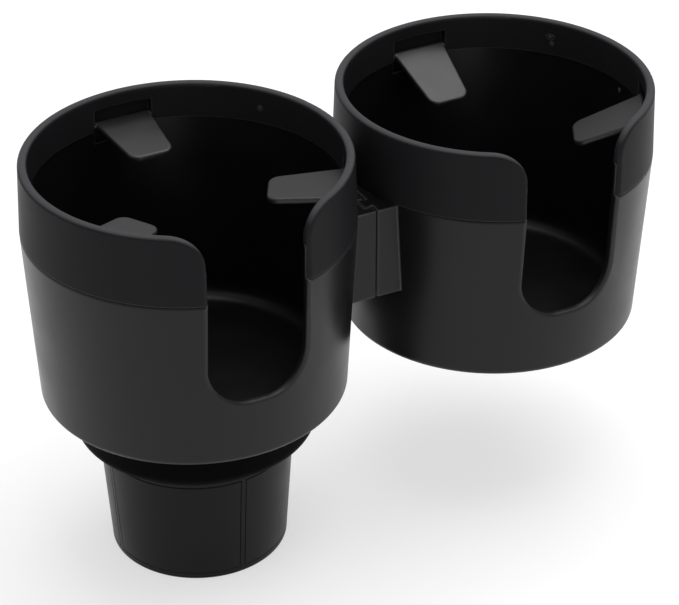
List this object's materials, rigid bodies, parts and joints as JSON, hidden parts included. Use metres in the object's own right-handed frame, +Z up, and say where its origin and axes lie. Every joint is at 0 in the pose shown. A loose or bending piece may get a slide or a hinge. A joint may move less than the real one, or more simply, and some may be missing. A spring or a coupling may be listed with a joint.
{
  "type": "vehicle cup holder expander",
  "caption": "Double cup holder insert for a vehicle: two wide slotted cups with sprung fingers, on a round expanding plug with four jaws.",
  "frame": {"origin": "on the axis of the round base plug, at its flat underside", "axes": "+Z up along the axis of the base plug and the main cup; +X level, from the main cup toward the second cup; the slots of both cups open toward -Y"},
  "size_m": [0.224, 0.1076, 0.1475],
  "materials": {
    "cup_plastic": "satin moulded",
    "ring_plastic": "smooth satin",
    "base_plastic": "satin moulded",
    "scroll_plastic": "self-lubricating moulded",
    "finger_rubber": "matte moulded",
    "steel": "zinc plated"
  },
  "bodies": {
    "base": {"base_frame": "base_plastic", "base_plate": "base_plastic", "base_screws": "steel"},
    "main": {"main_cup": "cup_plastic", "main_ring": "ring_plastic", "collar": "base_plastic", "collar_screws": "steel", "scroll_plate": "scroll_plastic", "scroll_screws": "steel", "pivot_bolt": "steel", "pivot_nut": "steel", "pivot_washer": "steel", "main_finger_pins": "steel", "main_finger_springs": "steel"},
    "second": {"second_cup": "cup_plastic", "second_ring": "ring_plastic", "second_finger_pins": "steel", "second_finger_springs": "steel"},
    "jaw_1": {"jaw_1": "base_plastic"},
    "jaw_2": {"jaw_2": "base_plastic"},
    "jaw_3": {"jaw_3": "base_plastic"},
    "jaw_4": {"jaw_4": "base_plastic"},
    "main_finger_1": {"main_finger_1": "finger_rubber"},
    "main_finger_2": {"main_finger_2": "finger_rubber"},
    "main_finger_3": {"main_finger_3": "finger_rubber"},
    "second_finger_1": {"second_finger_1": "finger_rubber"},
    "second_finger_2": {"second_finger_2": "finger_rubber"},
    "second_finger_3": {"second_finger_3": "finger_rubber"}
  },
  "joints": [
    {"name": "turn", "type": "hinge", "parent": "base", "child": "main", "pos_m": [0, 0, 0.045], "axis": [0, 0, 1], "range_deg": [0, 120]},
    {"name": "jaw_slide_1", "type": "slide", "parent": "base", "child": "jaw_1", "axis": [0.6626, 0.749, 0], "range_m": [0, 0.009]},
    {"name": "jaw_slide_2", "type": "slide", "parent": "base", "child": "jaw_2", "axis": [-0.749, 0.6626, 0], "range_m": [0, 0.009]},
    {"name": "jaw_slide_3", "type": "slide", "parent": "base", "child": "jaw_3", "axis": [-0.6626, -0.749, 0], "range_m": [0, 0.009]},
    {"name": "jaw_slide_4", "type": "slide", "parent": "base", "child": "jaw_4", "axis": [0.749, -0.6626, 0], "range_m": [0, 0.009]},
    {"name": "second_lift", "type": "slide", "parent": "main", "child": "second", "axis": [0, 0, 1], "range_m": [0, 0.03]},
    {"name": "main_fold_1", "type": "hinge", "parent": "main", "child": "main_finger_1", "pos_m": [0.04443, -0.02463, 0.1365], "axis": [-0.4848, -0.8746, 0], "range_deg": [0, 66.5], "stiffness_Nm_per_rad": 0.01},
    {"name": "main_fold_2", "type": "hinge", "parent": "main", "child": "main_finger_2", "pos_m": [-0.00089, 0.05079, 0.1365], "axis": [0.9998, 0.0175, 0], "range_deg": [0, 66.5], "stiffness_Nm_per_rad": 0.01},
    {"name": "main_fold_3", "type": "hinge", "parent": "main", "child": "main_finger_3", "pos_m": [-0.04354, -0.02616, 0.1365], "axis": [-0.515, 0.8572, 0], "range_deg": [0, 66.5], "stiffness_Nm_per_rad": 0.01},
    {"name": "second_fold_1", "type": "hinge", "parent": "second", "child": "second_finger_1", "pos_m": [0.15863, -0.02463, 0.1365], "axis": [-0.4848, -0.8746, 0], "range_deg": [0, 48], "stiffness_Nm_per_rad": 0.01},
    {"name": "second_fold_2", "type": "hinge", "parent": "second", "child": "second_finger_2", "pos_m": [0.11331, 0.05079, 0.1365], "axis": [0.9998, 0.0175, 0], "range_deg": [0, 48], "stiffness_Nm_per_rad": 0.01},
    {"name": "second_fold_3", "type": "hinge", "parent": "second", "child": "second_finger_3", "pos_m": [0.07066, -0.02616, 0.1365], "axis": [-0.515, 0.8572, 0], "range_deg": [0, 48], "stiffness_Nm_per_rad": 0.01}
  ],
  "couplings": [
    {"joint": "jaw_slide_1", "follows": "turn", "m_per_rad": 0.004297},
    {"joint": "jaw_slide_2", "follows": "turn", "m_per_rad": 0.004297},
    {"joint": "jaw_slide_3", "follows": "turn", "m_per_rad": 0.004297},
    {"joint": "jaw_slide_4", "follows": "turn", "m_per_rad": 0.004297}
  ]
}
